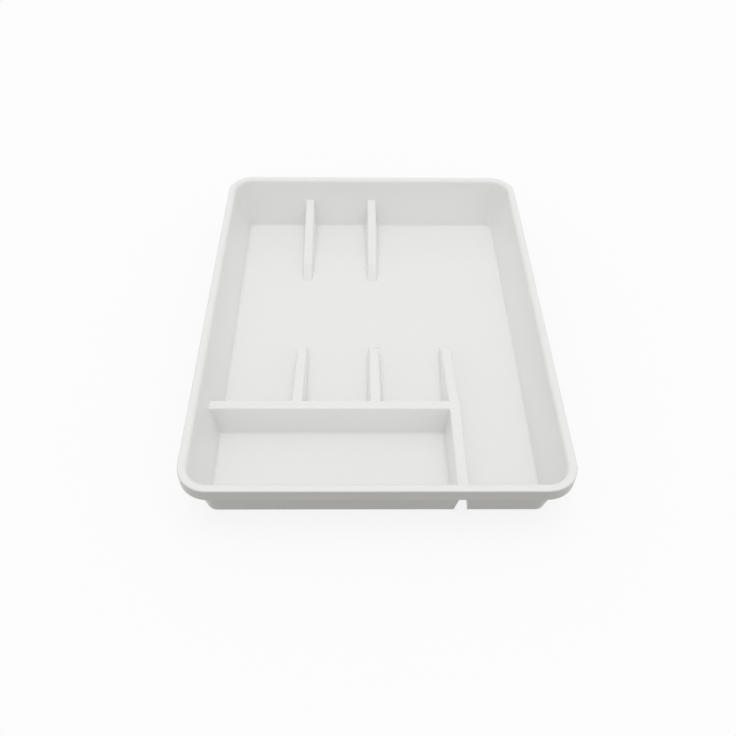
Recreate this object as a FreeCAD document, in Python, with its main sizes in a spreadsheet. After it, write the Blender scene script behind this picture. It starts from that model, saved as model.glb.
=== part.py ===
import FreeCAD, Part
import os
import Sketcher

# A cutlery tray for a drawer: a thin white moulding with a hollow rim and hollow, folded
# dividers that stand open below. Lengths are in millimetres. The tray stands on z = 0 with
# its plan centre at the origin, +X to the right and +Y to the back.

# Driving sizes: name, value, meaning
SIZES = (
    ("tray_width", 300, "outside width over the rim"),
    ("tray_length", 400, "outside length over the rim"),
    ("tray_height", 52, "table to the top of the rim"),
    ("skin", 1.8, "thickness of the moulding"),
    ("rim_width", 6.8, "outer edge of the rim to the wall line, at the top"),
    ("rim_corner", 24.5, "corner radius of the rim in plan"),
    ("rim_edge", 1.2, "rounding of the rim's outer edge"),
    ("rim_lip", 3.2, "rounding from the rim into the tray"),
    ("rim_inner_lip", 1.4, "rounding under that lip"),
    ("skirt_depth", 11.2, "rim top to the lower edge of the hanging skirt"),
    ("seam_drop", 7, "rim top to the line where the walls begin"),
    ("wall_lean_share", 0.23, "run of the walls for each unit of height"),
    ("foot_radius", 2, "fillet between the floor and what rises from it"),
    ("fold_height", 31, "table to the top of the dividers"),
    ("fold_width", 8.5, "width of the flat tops of dividers and fins"),
    ("fold_edge", 1.2, "rounding along those tops"),
    ("fold_lean_share", 0.1, "run of a fold's flanks for each unit of height"),
    ("column_pitch", 66, "distance between the columns of dividers and fins"),
    ("cross_setback", 100, "front edge of the tray to the middle of the cross divider"),
    ("front_fin_reach", 96, "middle of the cross divider to the tips of its fins"),
    ("back_fin_reach", 112, "back edge of the tray to the tips of the back fins"),
    ("back_fin_height", 33.2, "height of a back fin's ridge, carried on to the back edge"),
    ("fin_end_height", 13.5, "height at which a ridge breaks into the end face"),
    ("fin_end_run", 14.5, "length of that end face along the floor"),
    ("fin_tip_run", 3, "length of the last stretch of the end face, which dips into the floor"),
    ("foot_fade_share", 0.8, "share of the end face over which the foot fillets fade out"),
    ("seam_margin", 2, "flat strip of floor that stays with walls, dividers and fins"),
    ("overrun", 2, "how far a cut runs past what it cuts"),
)

doc = FreeCAD.newDocument("cutlery_tray")
sheet = doc.addObject("Spreadsheet::Sheet", "sizes")
for row, (alias, value, meaning) in enumerate(SIZES, start=1):
    sheet.set(f"A{row}", meaning)
    sheet.set(f"B{row}", str(value))
    sheet.setAlias(f"B{row}", alias)
doc.recompute()


class Size:
    """A size from the sheet, or a sum of such sizes, with the expression that binds it."""

    def __init__(self, text, value):
        self.text = text
        self.value = value

    def __add__(self, other):
        other = as_size(other)
        return Size(f"({self.text} + {other.text})", self.value + other.value)

    def __sub__(self, other):
        other = as_size(other)
        return Size(f"({self.text} - {other.text})", self.value - other.value)

    def __mul__(self, other):
        other = as_size(other)
        return Size(f"({self.text} * {other.text})", self.value * other.value)

    def __truediv__(self, other):
        other = as_size(other)
        return Size(f"({self.text} / {other.text})", self.value / other.value)

    def __neg__(self):
        return Size(f"(0 - {self.text})", -self.value)


def as_size(item):
    return item if isinstance(item, Size) else Size(str(item), item)


def stretch(slope):
    """Length of a line that runs one unit along and `slope` units across."""
    return Size(f"sqrt(1 + {slope.text} * {slope.text})", (1 + slope.value ** 2) ** 0.5)


def read(alias):
    return Size(f"sizes.{alias}", float(sheet.get(alias)))


tray_width = read("tray_width")
tray_length = read("tray_length")
tray_height = read("tray_height")
skin = read("skin")
rim_width = read("rim_width")
rim_corner = read("rim_corner")
rim_edge = read("rim_edge")
rim_lip = read("rim_lip")
rim_inner_lip = read("rim_inner_lip")
skirt_depth = read("skirt_depth")
seam_drop = read("seam_drop")
wall_lean = read("wall_lean_share")
foot_radius = read("foot_radius")
fold_height = read("fold_height")
fold_width = read("fold_width")
fold_edge = read("fold_edge")
fold_lean = read("fold_lean_share")
column_pitch = read("column_pitch")
cross_setback = read("cross_setback")
front_fin_reach = read("front_fin_reach")
back_fin_reach = read("back_fin_reach")
back_fin_height = read("back_fin_height")
fin_end_height = read("fin_end_height")
fin_end_run = read("fin_end_run")
fin_tip_run = read("fin_tip_run")
foot_fade = read("foot_fade_share")
seam_margin = read("seam_margin")
overrun = read("overrun")

# Places that follow from the sizes
zero = Size("0", 0.0)
half_width = tray_width / 2
half_length = tray_length / 2
seam_level = tray_height - seam_drop
seam_inset = rim_width + seam_drop * wall_lean
wall_stretch = stretch(wall_lean)
wall_across = skin * wall_stretch
fold_stretch = stretch(fold_lean)
cross_middle = cross_setback - half_length
left_column = -column_pitch
long_middle = column_pitch
front_fin_tip = cross_middle + front_fin_reach
back_fin_tip = half_length - back_fin_reach

FRONT_FINS = 3
BACK_FINS = 2
COUNTER_CLOCKWISE = 1
CLOCKWISE = -1
TO_BACK = 1
TO_FRONT = -1
TO_RIGHT = 1
FLANKS = {"left": -1, "right": 1}


def arc_between(start, end, radius, turn):
    """The short arc of that radius from start to end."""
    chord = end - start
    across = FreeCAD.Vector(-chord.y, chord.x, 0).normalize()
    rise = max(radius ** 2 - (chord.Length / 2) ** 2, 0) ** 0.5
    centre = start + chord / 2 + across * rise * turn
    first, last = (start, end) if turn == COUNTER_CLOCKWISE else (end, start)
    circle = Part.Circle(centre, FreeCAD.Vector(0, 0, 1), radius)
    return Part.ArcOfCircle(circle, circle.parameter(first), circle.parameter(last))


def closed_sketch(body, name, role, offset, corners, arcs):
    """A closed outline: every corner is bound to its place, every arc to its radius.

    `arcs` maps the number of the corner where an arc starts to its radius and its turn.
    """
    plane = next(item for item in body.Origin.OriginFeatures if item.Role == role)
    sketch = body.newObject("Sketcher::SketchObject", name)
    sketch.AttachmentSupport = [(plane, "")]
    sketch.MapMode = "FlatFace"
    sketch.setExpression("AttachmentOffset.Base.z", offset.text)
    points = [FreeCAD.Vector(x.value, y.value, 0) for x, y in corners]
    ends = []
    for index, start in enumerate(points):
        end = points[(index + 1) % len(points)]
        if index in arcs:
            radius, turn = arcs[index]
            sketch.addGeometry(arc_between(start, end, radius.value, turn))
            ends.append((1, 2) if turn == COUNTER_CLOCKWISE else (2, 1))
        else:
            sketch.addGeometry(Part.LineSegment(start, end))
            ends.append((1, 2))
    for index in range(len(points)):
        following = (index + 1) % len(points)
        sketch.addConstraint(Sketcher.Constraint(
            "Coincident", index, ends[index][1], following, ends[following][0]))
    for index, (x, y) in enumerate(corners):
        for kind, place in (("DistanceX", x), ("DistanceY", y)):
            number = sketch.addConstraint(
                Sketcher.Constraint(kind, index, ends[index][0], place.value))
            sketch.setExpression(f"Constraints[{number}]", place.text)
    for index, (radius, turn) in arcs.items():
        number = sketch.addConstraint(Sketcher.Constraint("Radius", index, radius.value))
        sketch.setExpression(f"Constraints[{number}]", radius.text)
    return sketch


def new_body(name):
    return doc.addObject("PartDesign::Body", name)


def plan_outline(inset):
    """Corners and arcs of the tray's plan outline, drawn in by `inset`."""
    x = half_width - inset
    y = half_length - inset
    corner = rim_corner - inset
    corners = [
        (x, y - corner), (x - corner, y),
        (corner - x, y), (-x, y - corner),
        (-x, corner - y), (corner - x, -y),
        (x - corner, -y), (x, corner - y),
    ]
    arcs = {number: (corner, COUNTER_CLOCKWISE) for number in range(0, len(corners), 2)}
    return corners, arcs


def plan_path(body, name, level, inset):
    """The plan outline as a path that starts in the middle of the right side."""
    corners, arcs = plan_outline(inset)
    start = (half_width - inset, zero)
    shifted = {number + 1: arc for number, arc in arcs.items()}
    return closed_sketch(body, name, "XY_Plane", level, [start] + corners, shifted)


class Skin:
    """One side of the moulding: the inside that shows, or the outside, a skin's depth below it.

    The skin is even, so a fillet that widens the skin's outside narrows on its inside, and a
    rounding of less than the skin leaves a sharp corner there.
    """

    def __init__(self, name, depth):
        self.name = name
        self.depth = depth
        self.base = skin - depth
        self.foot = foot_radius + depth
        self.foot_rise = self.foot - self.foot * fold_lean / fold_stretch
        self.edge = fold_edge - depth
        self.half_top = fold_width / 2 - depth * (fold_stretch - fold_lean)

    def wall_inset(self, level):
        return seam_inset + (seam_level - level) * wall_lean - self.depth * wall_stretch

    def foot_points(self, ridge):
        """Where a fold's foot fillet leaves the floor, and where it joins the flank."""
        leave_x = self.half_top + (ridge - self.base - self.foot) * fold_lean + self.foot * fold_stretch
        flank_x = leave_x - self.foot / fold_stretch
        return [(leave_x, self.base), (flank_x, self.base + self.foot_rise)]

    def crest(self, ridge, number):
        """The upper corner of a fold's section, from that point on: its points and its rounding."""
        if self.edge.value <= 0:
            return [(self.half_top, ridge)], {}
        top_x = self.half_top + self.edge * fold_lean - self.edge * fold_stretch
        flank_z = ridge - self.edge + self.edge * fold_lean / fold_stretch
        points = [(top_x + self.edge / fold_stretch, flank_z), (top_x, ridge)]
        return points, {number: (self.edge, COUNTER_CLOCKWISE)}

    def fold_outline(self, middle, ridge):
        """Section of a fold: leaning flanks, a flat top and feet that flare into the floor."""
        leaving, joining = self.foot_points(ridge)
        right = [(leaving[0], self.base - overrun), leaving, joining]
        points, arcs = self.crest(ridge, len(right))
        return mirrored(right + points, {1: (self.foot, CLOCKWISE), **arcs}, middle)

    def crest_outline(self, middle, ridge, below):
        """The same section without feet, whose flanks go on that far below the floor."""
        below_z = self.base - below
        right = [(self.half_top + (ridge - below_z) * fold_lean, below_z)]
        points, arcs = self.crest(ridge, len(right))
        return mirrored(right + points, arcs, middle)

    def foot_outline(self, middle, ridge, flank):
        """One foot of that section, filled in to the middle of the fold."""
        leaving, joining = self.foot_points(ridge)
        below_z = self.base - overrun
        points = [(leaving[0], below_z), leaving, joining, (zero, joining[1]), (zero, below_z)]
        return [(middle + x * flank, z) for x, z in points], {1: (self.foot, CLOCKWISE * flank)}


def mirrored(right, arcs, middle):
    """A symmetric outline from the points and arcs of its right half, lowest first."""
    corners = [(middle + x, z) for x, z in right] + [(middle - x, z) for x, z in reversed(right)]
    last = len(corners) - 2
    return corners, {**arcs, **{last - number: arc for number, arc in arcs.items()}}


inside = Skin("inside", zero)
outside = Skin("outside", skin)

# Half width of the strip of floor that stays with a fold, and the edges of the open floor
fold_strip = inside.foot_points(fold_height)[0][0] + seam_margin
wall_strip = inside.wall_inset(skin) + foot_radius + seam_margin
floor_x = half_width - wall_strip
floor_y = half_length - wall_strip


def cut_along(body, name, sketch, length, across, along, up):
    """A pocket that leaves its sketch in that direction, checked to have taken material away.

    Its length is measured square to the sketch.
    """
    before = body.Shape.Volume
    pocket = body.newObject("PartDesign::Pocket", name)
    pocket.Profile = sketch
    pocket.Type = "Length"
    pocket.UseCustomVector = True
    pocket.AlongSketchNormal = True
    for axis, share in zip("xyz", (across, along, up)):
        pocket.setExpression(f"Direction.{axis}", as_size(share).text)
    pocket.setExpression("Length", length.text)
    doc.recompute()
    if body.Shape.Volume >= before:
        raise RuntimeError(f"{name} cuts nothing")
    return pocket


def cut_fins(body, side, name, tip, way, reach, root_run, root_height, count):
    """A row of sloping fins, repeated across the columns.

    A fin is cut in straight stretches. The ridge starts clear of what the fin stands against, from
    where it climbs on to the root and falls to the break. There the end face begins, which falls to
    the tip, and along it the foot fillets sink away into the floor.
    """
    end_slope = (fin_end_height - skin) / fin_end_run
    slope = (root_height - fin_end_height) / (reach - fin_end_run)
    end_drop = side.depth * stretch(end_slope)
    ridge_drop = side.depth * stretch(slope)
    break_shift = (end_drop - ridge_drop) / (end_slope - slope)
    break_run = fin_end_run + break_shift
    break_ridge = fin_end_height + slope * break_shift - ridge_drop
    start_run = reach - root_run
    start_ridge = root_height - slope * root_run - ridge_drop
    dip_run = fin_tip_run + (end_drop - side.depth) / end_slope
    dip_ridge = side.base + fin_tip_run * end_slope
    fade_run = (break_run - dip_run + fin_tip_run) * foot_fade
    sink = side.foot_rise / fade_run
    cuts = []

    # Each stretch: name, distance from the tip and ridge height where it starts, its length and
    # heading, how far its outline goes below the floor, and its climb
    below_root = overrun + root_run * slope
    for stretch_name, start, ridge, run, heading, below, climb in (
        ("root", start_run, start_ridge, root_run, -way, below_root, slope),
        ("ridge", start_run, start_ridge, start_run - break_run, way, overrun, -slope),
        ("end", break_run, break_ridge, break_run - dip_run, way, overrun, -end_slope),
        ("tip", dip_run, dip_ridge, fin_tip_run + overrun, way, overrun, -end_slope),
    ):
        corners, arcs = side.crest_outline(left_column, ridge, below)
        crest_name = f"{name}_{stretch_name}"
        crest = closed_sketch(body, f"{crest_name}_crest", "XZ_Plane", start * way - tip, corners, arcs)
        cuts.append(cut_along(body, crest_name, crest, run, 0, heading, climb))

    # Each stretch of a foot: as above, with its spread to the side instead of the outline's depth
    for flank_name, flank in FLANKS.items():
        for stretch_name, start, ridge, run, heading, spread, climb in (
            ("root", start_run, start_ridge, root_run, -way, slope, 0),
            ("ridge", start_run, start_ridge, start_run - break_run, way, -slope, 0),
            ("end", break_run, break_ridge, fade_run + overrun, way, sink - end_slope, -sink),
        ):
            corners, arcs = side.foot_outline(left_column, ridge, flank)
            foot_name = f"{name}_{flank_name}_{stretch_name}"
            foot = closed_sketch(body, f"{foot_name}_foot", "XZ_Plane", start * way - tip, corners, arcs)
            cuts.append(cut_along(body, foot_name, foot, run, spread * fold_lean * flank, heading, climb))

    row = body.newObject("PartDesign::LinearPattern", f"{name}_row")
    row.Originals = cuts
    x_axis = next(item for item in body.Origin.OriginFeatures if item.Role == "X_Axis")
    row.Direction = (x_axis, [""])
    row.setExpression("Length", (column_pitch * (count - 1)).text)
    row.Occurrences = count
    body.Tip = row
    doc.recompute()


def round_foot(body, side):
    """Rounds the edge between floor and walls with a section carried round the floor."""
    inset = side.wall_inset(side.base)
    path = plan_path(body, f"{side.name}_foot_path", side.base, inset)
    leave_x = half_width - inset + side.foot * (wall_lean - wall_stretch)
    wall_x = leave_x + side.foot / wall_stretch
    wall_z = side.base + side.foot - side.foot * wall_lean / wall_stretch
    corners = [
        (leave_x, side.base - overrun), (wall_x + overrun, side.base - overrun),
        (wall_x + overrun, wall_z), (wall_x, wall_z), (leave_x, side.base),
    ]
    arcs = {3: (side.foot, CLOCKWISE)}
    section = closed_sketch(body, f"{side.name}_foot_section", "XZ_Plane", zero, corners, arcs)
    sweep = body.newObject("PartDesign::SubtractivePipe", f"{side.name}_foot")
    sweep.Profile = section
    sweep.Spine = (path, [])
    doc.recompute()


def plug(side):
    """A solid plug that fills one side of the tray, grooved where the folds stand."""
    body = new_body(side.name)
    sections = []
    for name, level in (("lower", side.base), ("upper", seam_level)):
        corners, arcs = plan_outline(side.wall_inset(level))
        sections.append(closed_sketch(body, f"{side.name}_{name}", "XY_Plane", level, corners, arcs))
    loft = body.newObject("PartDesign::AdditiveLoft", f"{side.name}_loft")
    loft.Profile = sections[0]
    loft.Sections = sections[1:]
    loft.Ruled = True
    doc.recompute()
    round_foot(body, side)

    ridge = fold_height - side.depth
    corners, arcs = side.fold_outline(long_middle, ridge)
    front = closed_sketch(body, f"{side.name}_long_section", "XZ_Plane", half_length, corners, arcs)
    cut_along(body, f"{side.name}_long", front, cross_setback, 0, TO_BACK, 0)
    corners, arcs = side.fold_outline(cross_middle, ridge)
    left = closed_sketch(body, f"{side.name}_cross_section", "YZ_Plane", -half_width, corners, arcs)
    cut_along(body, f"{side.name}_cross", left, half_width + long_middle, TO_RIGHT, 0, 0)
    cut_fins(body, side, f"{side.name}_front_fin", front_fin_tip, TO_BACK,
             front_fin_reach, fold_strip, fold_height, FRONT_FINS)
    cut_fins(body, side, f"{side.name}_back_fin", back_fin_tip, TO_FRONT,
             back_fin_reach, half_length - floor_y, back_fin_height, BACK_FINS)
    return body


def rim():
    """The hollow rim: one section carried round the plan outline."""
    body = new_body("rim")
    path = plan_path(body, "rim_path", tray_height, zero)
    lean_in = wall_stretch - wall_lean
    lip_start = rim_width - rim_lip * lean_in
    lip_end = rim_lip - rim_lip * wall_lean / wall_stretch
    under_start = rim_width - (skin + rim_inner_lip) * lean_in
    under_end = skin + rim_inner_lip - rim_inner_lip * wall_lean / wall_stretch
    # Each corner: distance in from the outer edge, distance down from the top
    outline = [
        (zero, skirt_depth),
        (zero, rim_edge), (rim_edge, zero),
        (lip_start, zero), (lip_start + rim_lip / wall_stretch, lip_end),
        (seam_inset, seam_drop), (seam_inset - wall_across, seam_drop),
        (under_start + rim_inner_lip / wall_stretch, under_end), (under_start, skin),
        (skin, skin), (skin, skirt_depth),
    ]
    corners = [(half_width - across, tray_height - down) for across, down in outline]
    arcs = {
        1: (rim_edge, COUNTER_CLOCKWISE),
        3: (rim_lip, COUNTER_CLOCKWISE),
        7: (rim_inner_lip, CLOCKWISE),
    }
    section = closed_sketch(body, "rim_section", "XZ_Plane", zero, corners, arcs)
    sweep = body.newObject("PartDesign::AdditivePipe", "rim_sweep")
    sweep.Profile = section
    sweep.Spine = (path, [])
    doc.recompute()
    return body


def block(name, left, right, front, back, top):
    """A box from the table up, which marks off a region of the moulding."""
    box = doc.addObject("Part::Box", name)
    box.setExpression("Length", (right - left).text)
    box.setExpression("Width", (back - front).text)
    box.setExpression("Height", top.text)
    box.setExpression("Placement.Base.x", left.text)
    box.setExpression("Placement.Base.y", front.text)
    return box


def common(name, base, tool):
    feature = doc.addObject("Part::Common", name)
    feature.Base = base
    feature.Tool = tool
    return feature


def cut(name, base, tool):
    feature = doc.addObject("Part::Cut", name)
    feature.Base = base
    feature.Tool = tool
    return feature


nodes = [rim()]
moulding = cut("moulding", plug(outside), plug(inside))

fold_top = fold_height + seam_margin
back_fold_top = back_fin_height + seam_margin
corner_y = half_length - rim_corner - seam_margin
cross_front = cross_middle - fold_strip
cross_back = cross_middle + fold_strip
long_left = long_middle - fold_strip
long_right = long_middle + fold_strip
front_fin_end = front_fin_tip + seam_margin
back_fin_end = back_fin_tip - seam_margin

fold_blocks = [
    block("long_divider_region", long_left, long_right, -half_length, front_fin_end, fold_top),
    block("cross_divider_region", -half_width, long_left, cross_front, cross_back, fold_top),
    block("front_left_fin_region", left_column - fold_strip, left_column + fold_strip,
          cross_back, front_fin_end, fold_top),
    block("front_middle_fin_region", -fold_strip, fold_strip, cross_back, front_fin_end, fold_top),
    block("back_left_fin_region", left_column - fold_strip, left_column + fold_strip,
          back_fin_end, half_length, back_fold_top),
    block("back_right_fin_region", -fold_strip, fold_strip, back_fin_end, half_length, back_fold_top),
]
for region in fold_blocks:
    nodes.append(common(region.Name.removesuffix("_region"), moulding, region))
floor_region = block("floor_region", -floor_x, floor_x, -floor_y, floor_y, seam_level)
inner_region = doc.addObject("Part::MultiFuse", "inner_region")
inner_region.Shapes = fold_blocks + [floor_region]

# The end walls take the corners with them
WALLS = {
    "front_wall": (-half_width, half_width, -half_length, -corner_y),
    "right_wall": (floor_x, half_width, -corner_y, corner_y),
    "back_wall": (-half_width, half_width, corner_y, half_length),
    "left_wall": (-half_width, -floor_x, -corner_y, corner_y),
}
for name, edges in WALLS.items():
    region = cut(f"{name}_region", block(f"{name}_block", *edges, seam_level), inner_region)
    nodes.append(common(name, moulding, region))

front_region = block("front_floor_region", -floor_x, long_left, -floor_y, cross_front, seam_level)
nodes.append(common("front_floor", moulding, front_region))
taken = doc.addObject("Part::MultiFuse", "taken_region")
taken.Shapes = fold_blocks + [front_region]
nodes.append(common("main_floor", moulding, cut("main_floor_region", floor_region, taken)))
doc.recompute()

for item in doc.Objects:
    if "Invalid" in item.State or "Error" in item.State:
        raise RuntimeError(f"{item.Name} did not compute: {item.State}")
for node in nodes:
    node.Label = node.Name
    if node.Shape.isNull() or not node.Shape.isValid():
        raise RuntimeError(f"{node.Label} has no valid shape")

os.makedirs("parts", exist_ok=True)
for node in nodes:
    node.Shape.exportStep(f"parts/{node.Label}.step")
    print(node.Label, len(node.Shape.Solids), "solid", round(node.Shape.Volume), "mm3")
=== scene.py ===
import math

import bpy
from mathutils import Matrix, Vector


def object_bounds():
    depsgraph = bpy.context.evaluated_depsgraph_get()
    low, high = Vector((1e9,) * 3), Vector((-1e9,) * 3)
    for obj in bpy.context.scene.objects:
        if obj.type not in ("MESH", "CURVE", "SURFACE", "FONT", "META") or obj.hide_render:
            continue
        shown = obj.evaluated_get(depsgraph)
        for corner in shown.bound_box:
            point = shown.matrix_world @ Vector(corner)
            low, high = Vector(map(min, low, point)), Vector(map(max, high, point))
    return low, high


# A white plastic cutlery tray on a pale studio floor. Lengths are in metres, in the CAD frame.
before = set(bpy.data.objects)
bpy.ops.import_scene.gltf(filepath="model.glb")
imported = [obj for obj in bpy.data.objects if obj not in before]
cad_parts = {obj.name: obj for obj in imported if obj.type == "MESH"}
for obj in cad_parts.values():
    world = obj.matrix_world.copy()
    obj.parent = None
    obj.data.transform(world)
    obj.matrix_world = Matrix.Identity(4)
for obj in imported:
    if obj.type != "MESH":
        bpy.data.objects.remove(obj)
cad_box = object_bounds()

# Camera of the photograph, fitted to the tray's rim, floor and dividers
CAMERA_PLACE = Vector((-0.0164, -0.5213, 0.5343))
CAMERA_YAW = math.radians(1.28)
CAMERA_PITCH = math.radians(47.4)
CAMERA_ROLL = math.radians(1.03)
CAMERA_NEAREST = 0.01
LEVEL_TURN = math.radians(90.0)
FOCAL_PIXELS = 787.0
IMAGE_PIXELS = 736.0
SENSOR_MM = 36.0

# Floor: white as it is seen, and darker in the light that it throws back on the tray
FLOOR_SIZE = 8.0
FLOOR_DROP = 0.0004
FLOOR_COLOUR = (0.96, 0.96, 0.96, 1.0)
FLOOR_BOUNCE = (0.14, 0.13, 0.09, 1.0)
FLOOR_GLOW_SHARE = 0.85
WHITE = (1.0, 1.0, 1.0, 1.0)
WHITE_STRENGTH = 1.0

# Studio dome from the horizon to overhead: sine of the height, strength
DOME_RING = 1.0
DOME_SIDES = 0.69
DOME_TOP = 2.8
DOME_STEPS = (
    (0.0, 0.0),
    (0.115, 0.0),
    (0.165, DOME_RING),
    (0.32, DOME_RING),
    (0.365, DOME_SIDES),
    (0.94, DOME_SIDES),
    (0.962, DOME_TOP),
)

# White plastic
PLASTIC_COLOUR = (0.905, 0.905, 0.897, 1.0)
PLASTIC_SHADE = (0.89, 0.89, 0.882, 1.0)
PLASTIC_GRAIN = 350.0
PLASTIC_GRAIN_DETAIL = 3.0
PLASTIC_ROUGHNESS = 0.2
PLASTIC_IOR = 1.49


def add_node(tree, kind, **values):
    """A node whose named inputs are set directly."""
    node = tree.nodes.new(kind)
    for name, value in values.items():
        node.inputs[name].default_value = value
    return node


def plastic():
    """Glossy white plastic with a fine grain in its colour."""
    material = bpy.data.materials.new("white_plastic")
    material.use_nodes = True
    tree = material.node_tree
    shader = tree.nodes["Principled BSDF"]
    shader.inputs["IOR"].default_value = PLASTIC_IOR
    shader.inputs["Roughness"].default_value = PLASTIC_ROUGHNESS

    place = tree.nodes.new("ShaderNodeTexCoord")
    grain = add_node(tree, "ShaderNodeTexNoise", Scale=PLASTIC_GRAIN, Detail=PLASTIC_GRAIN_DETAIL)
    tree.links.new(place.outputs["Object"], grain.inputs["Vector"])
    tint = tree.nodes.new("ShaderNodeValToRGB")
    tint.color_ramp.elements[0].color = PLASTIC_SHADE
    tint.color_ramp.elements[1].color = PLASTIC_COLOUR
    tree.links.new(grain.outputs["Fac"], tint.inputs["Fac"])
    tree.links.new(tint.outputs["Color"], shader.inputs["Base Color"])
    return material


def background_rays(tree):
    """1 for the rays that show the white background: the camera's, and those mirrored or let through."""
    rays = tree.nodes.new("ShaderNodeLightPath")
    shown = rays.outputs["Is Camera Ray"]
    for kind in ("Is Glossy Ray", "Is Transmission Ray"):
        either = tree.nodes.new("ShaderNodeMath")
        either.operation = "MAXIMUM"
        tree.links.new(shown, either.inputs[0])
        tree.links.new(rays.outputs[kind], either.inputs[1])
        shown = either.outputs["Value"]
    return shown


def floor():
    """A wide plane just under the tray, part diffuse to keep the shadow and part plain white."""
    material = bpy.data.materials.new("studio_floor")
    material.use_nodes = True
    tree = material.node_tree
    tree.nodes.clear()
    diffuse = add_node(tree, "ShaderNodeBsdfDiffuse", Color=FLOOR_COLOUR)
    glow = add_node(tree, "ShaderNodeEmission", Color=WHITE, Strength=WHITE_STRENGTH)
    seen = add_node(tree, "ShaderNodeMixShader", Fac=FLOOR_GLOW_SHARE)
    tree.links.new(diffuse.outputs["BSDF"], seen.inputs[1])
    tree.links.new(glow.outputs["Emission"], seen.inputs[2])

    bounce = add_node(tree, "ShaderNodeBsdfDiffuse", Color=FLOOR_BOUNCE)
    whole = tree.nodes.new("ShaderNodeMixShader")
    tree.links.new(background_rays(tree), whole.inputs["Fac"])
    tree.links.new(bounce.outputs["BSDF"], whole.inputs[1])
    tree.links.new(seen.outputs["Shader"], whole.inputs[2])
    out = tree.nodes.new("ShaderNodeOutputMaterial")
    tree.links.new(whole.outputs["Shader"], out.inputs["Surface"])

    bpy.ops.mesh.primitive_plane_add(size=FLOOR_SIZE, location=(0.0, 0.0, cad_box[0].z - FLOOR_DROP))
    plane = bpy.context.object
    plane.name = "studio_floor"
    plane.data.materials.append(material)


def sky():
    """A soft dome with a bright ring low down and a wide lamp overhead, and a white background."""
    world = bpy.data.worlds.new("studio")
    bpy.context.scene.world = world
    world.use_nodes = True
    tree = world.node_tree
    tree.nodes.clear()
    place = tree.nodes.new("ShaderNodeTexCoord")
    height = tree.nodes.new("ShaderNodeSeparateXYZ")
    tree.links.new(place.outputs["Generated"], height.inputs["Vector"])
    steps = tree.nodes.new("ShaderNodeValToRGB")
    ramp = steps.color_ramp
    while len(ramp.elements) < len(DOME_STEPS):
        ramp.elements.new(1.0)
    for element, (sine, strength) in zip(ramp.elements, DOME_STEPS):
        element.position = sine
        share = strength / DOME_TOP
        element.color = (share, share, share, 1.0)
    tree.links.new(height.outputs["Z"], steps.inputs["Fac"])

    light = add_node(tree, "ShaderNodeBackground", Strength=DOME_TOP)
    tree.links.new(steps.outputs["Color"], light.inputs["Color"])
    white = add_node(tree, "ShaderNodeBackground", Color=WHITE, Strength=WHITE_STRENGTH)
    whole = tree.nodes.new("ShaderNodeMixShader")
    tree.links.new(background_rays(tree), whole.inputs["Fac"])
    tree.links.new(light.outputs["Background"], whole.inputs[1])
    tree.links.new(white.outputs["Background"], whole.inputs[2])
    out = tree.nodes.new("ShaderNodeOutputWorld")
    tree.links.new(whole.outputs["Shader"], out.inputs["Surface"])


def camera():
    """The photograph's camera: level and facing back, then turned, tilted down and rolled."""
    data = bpy.data.cameras.new("photo_camera")
    data.sensor_width = SENSOR_MM
    data.lens = SENSOR_MM * FOCAL_PIXELS / IMAGE_PIXELS
    data.clip_start = CAMERA_NEAREST
    view = bpy.data.objects.new("photo_camera", data)
    bpy.context.scene.collection.objects.link(view)
    yaw = Matrix.Rotation(-CAMERA_YAW, 4, "Z")
    pitch = Matrix.Rotation(LEVEL_TURN - CAMERA_PITCH, 4, "X")
    roll = Matrix.Rotation(CAMERA_ROLL, 4, "Z")
    view.matrix_world = Matrix.Translation(CAMERA_PLACE) @ yaw @ pitch @ roll
    bpy.context.scene.camera = view


white_plastic = plastic()
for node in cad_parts.values():
    node.data.materials.clear()
    node.data.materials.append(white_plastic)
floor()
sky()
camera()
bpy.context.scene.view_settings.view_transform = "Standard"
